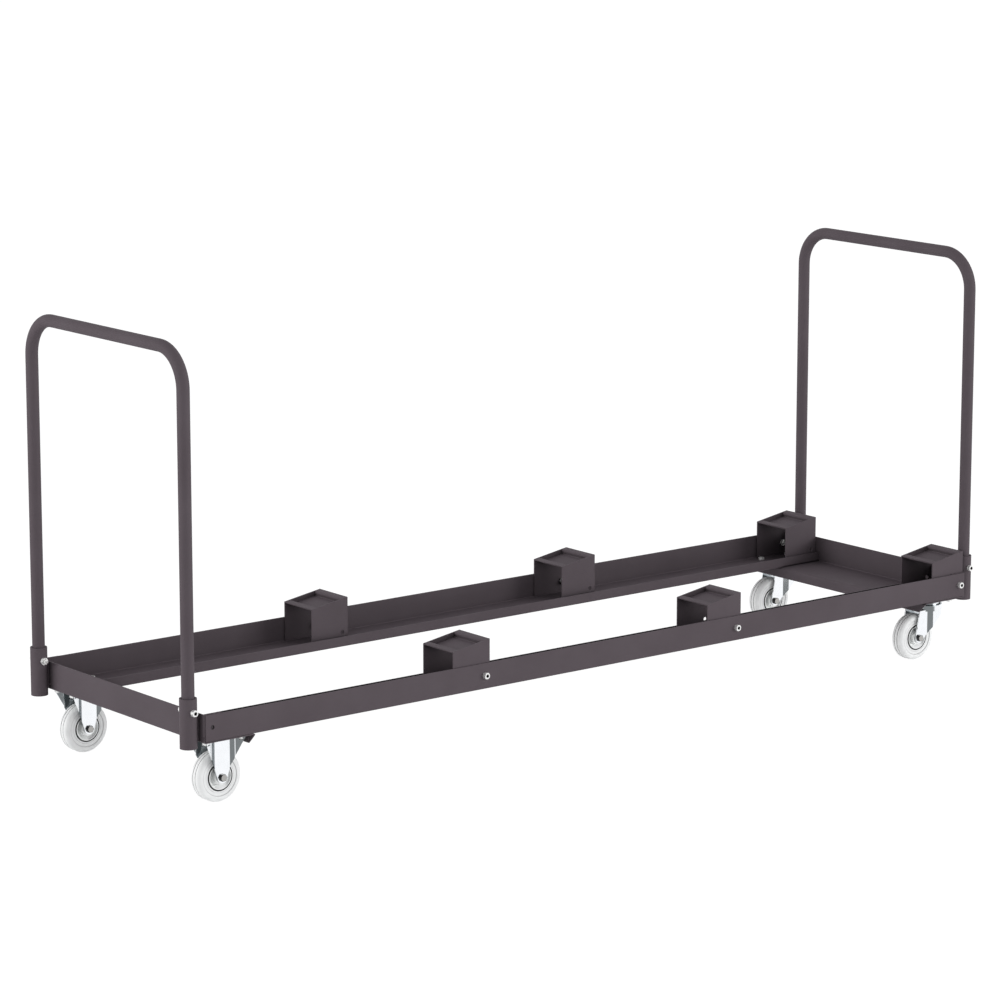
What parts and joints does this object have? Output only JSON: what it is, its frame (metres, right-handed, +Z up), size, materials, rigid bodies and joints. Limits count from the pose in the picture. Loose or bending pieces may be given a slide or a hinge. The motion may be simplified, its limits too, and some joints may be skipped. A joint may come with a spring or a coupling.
{
  "type": "stacking chair cart",
  "caption": "Long low cart for stacked chairs: folded sheet frame with open middle, sloping risers along both rails, tube push handles at each end, and rigid and swivel casters.",
  "frame": {"origin": "on the floor under the middle of the cart", "axes": "+X along the cart towards the swivel casters, +Y across from the front rail to the back rail, +Z up"},
  "size_m": [2.0634, 0.59, 0.8875],
  "materials": {
    "powder_coat": "satin brown-grey powder coat with a fine grain",
    "zinc_plate": "blue-white zinc plate, smooth and bright",
    "bright_zinc": "bright zinc plate",
    "hub_steel": "pressed steel, zinc plated",
    "grey_rubber": "light grey non-marking rubber, matt",
    "cage_plastic": "dark moulded plastic"
  },
  "bodies": {
    "frame": {"end_tray_left": "powder_coat", "end_tray_right": "powder_coat", "side_rail_front_web": "powder_coat", "side_rail_front_floor": "powder_coat", "side_rail_front_lip": "powder_coat", "side_rail_back_web": "powder_coat", "side_rail_back_floor": "powder_coat", "side_rail_back_lip": "powder_coat", "handle_socket_left_front": "powder_coat", "handle_socket_left_back": "powder_coat", "handle_socket_right_front": "powder_coat", "handle_socket_right_back": "powder_coat", "handle_left": "powder_coat", "handle_right": "powder_coat", "riser_front_1": "powder_coat", "riser_front_2": "powder_coat", "riser_front_3": "powder_coat", "riser_back_1": "powder_coat", "riser_back_2": "powder_coat", "riser_back_3": "powder_coat", "handle_bolts": "bright_zinc", "handle_nuts": "bright_zinc", "riser_bolts": "bright_zinc", "riser_nuts": "bright_zinc", "caster_bolts": "bright_zinc", "caster_nuts": "bright_zinc", "rigid_axle_bolts": "bright_zinc", "rigid_axle_nuts": "bright_zinc", "rigid_axle_sleeves": "bright_zinc", "rigid_front_bracket": "zinc_plate", "rigid_back_bracket": "zinc_plate", "swivel_front_plate": "zinc_plate", "swivel_front_king_pin": "bright_zinc", "swivel_front_washer": "bright_zinc", "swivel_back_plate": "zinc_plate", "swivel_back_king_pin": "bright_zinc", "swivel_back_washer": "bright_zinc"},
    "fork_front": {"swivel_front_fork": "zinc_plate", "swivel_front_ball_cage": "cage_plastic", "swivel_front_axle_bolt": "bright_zinc", "swivel_front_axle_nut": "bright_zinc", "swivel_front_axle_sleeve": "bright_zinc"},
    "fork_back": {"swivel_back_fork": "zinc_plate", "swivel_back_ball_cage": "cage_plastic", "swivel_back_axle_bolt": "bright_zinc", "swivel_back_axle_nut": "bright_zinc", "swivel_back_axle_sleeve": "bright_zinc"},
    "wheel_rigid_front": {"rigid_front_tyre": "grey_rubber", "rigid_front_hub": "hub_steel", "rigid_front_bearing": "cage_plastic"},
    "wheel_rigid_back": {"rigid_back_tyre": "grey_rubber", "rigid_back_hub": "hub_steel", "rigid_back_bearing": "cage_plastic"},
    "wheel_swivel_front": {"swivel_front_tyre": "grey_rubber", "swivel_front_hub": "hub_steel", "swivel_front_bearing": "cage_plastic"},
    "wheel_swivel_back": {"swivel_back_tyre": "grey_rubber", "swivel_back_hub": "hub_steel", "swivel_back_bearing": "cage_plastic"}
  },
  "joints": [
    {"name": "swivel_front_turn", "type": "hinge", "parent": "frame", "child": "fork_front", "pos_m": [0.9345, -0.231, 0.1], "axis": [0, 0, 1], "continuous": true},
    {"name": "swivel_back_turn", "type": "hinge", "parent": "frame", "child": "fork_back", "pos_m": [0.9345, 0.231, 0.1], "axis": [0, 0, 1], "continuous": true},
    {"name": "rigid_front_roll", "type": "hinge", "parent": "frame", "child": "wheel_rigid_front", "pos_m": [-0.9345, -0.231, 0.05], "axis": [0, 1, 0], "continuous": true},
    {"name": "rigid_back_roll", "type": "hinge", "parent": "frame", "child": "wheel_rigid_back", "pos_m": [-0.9345, 0.231, 0.05], "axis": [0, 1, 0], "continuous": true},
    {"name": "swivel_front_roll", "type": "hinge", "parent": "fork_front", "child": "wheel_swivel_front", "pos_m": [0.8935, -0.231, 0.05], "axis": [0, 1, 0], "continuous": true},
    {"name": "swivel_back_roll", "type": "hinge", "parent": "fork_back", "child": "wheel_swivel_back", "pos_m": [0.8935, 0.231, 0.05], "axis": [0, 1, 0], "continuous": true}
  ]
}
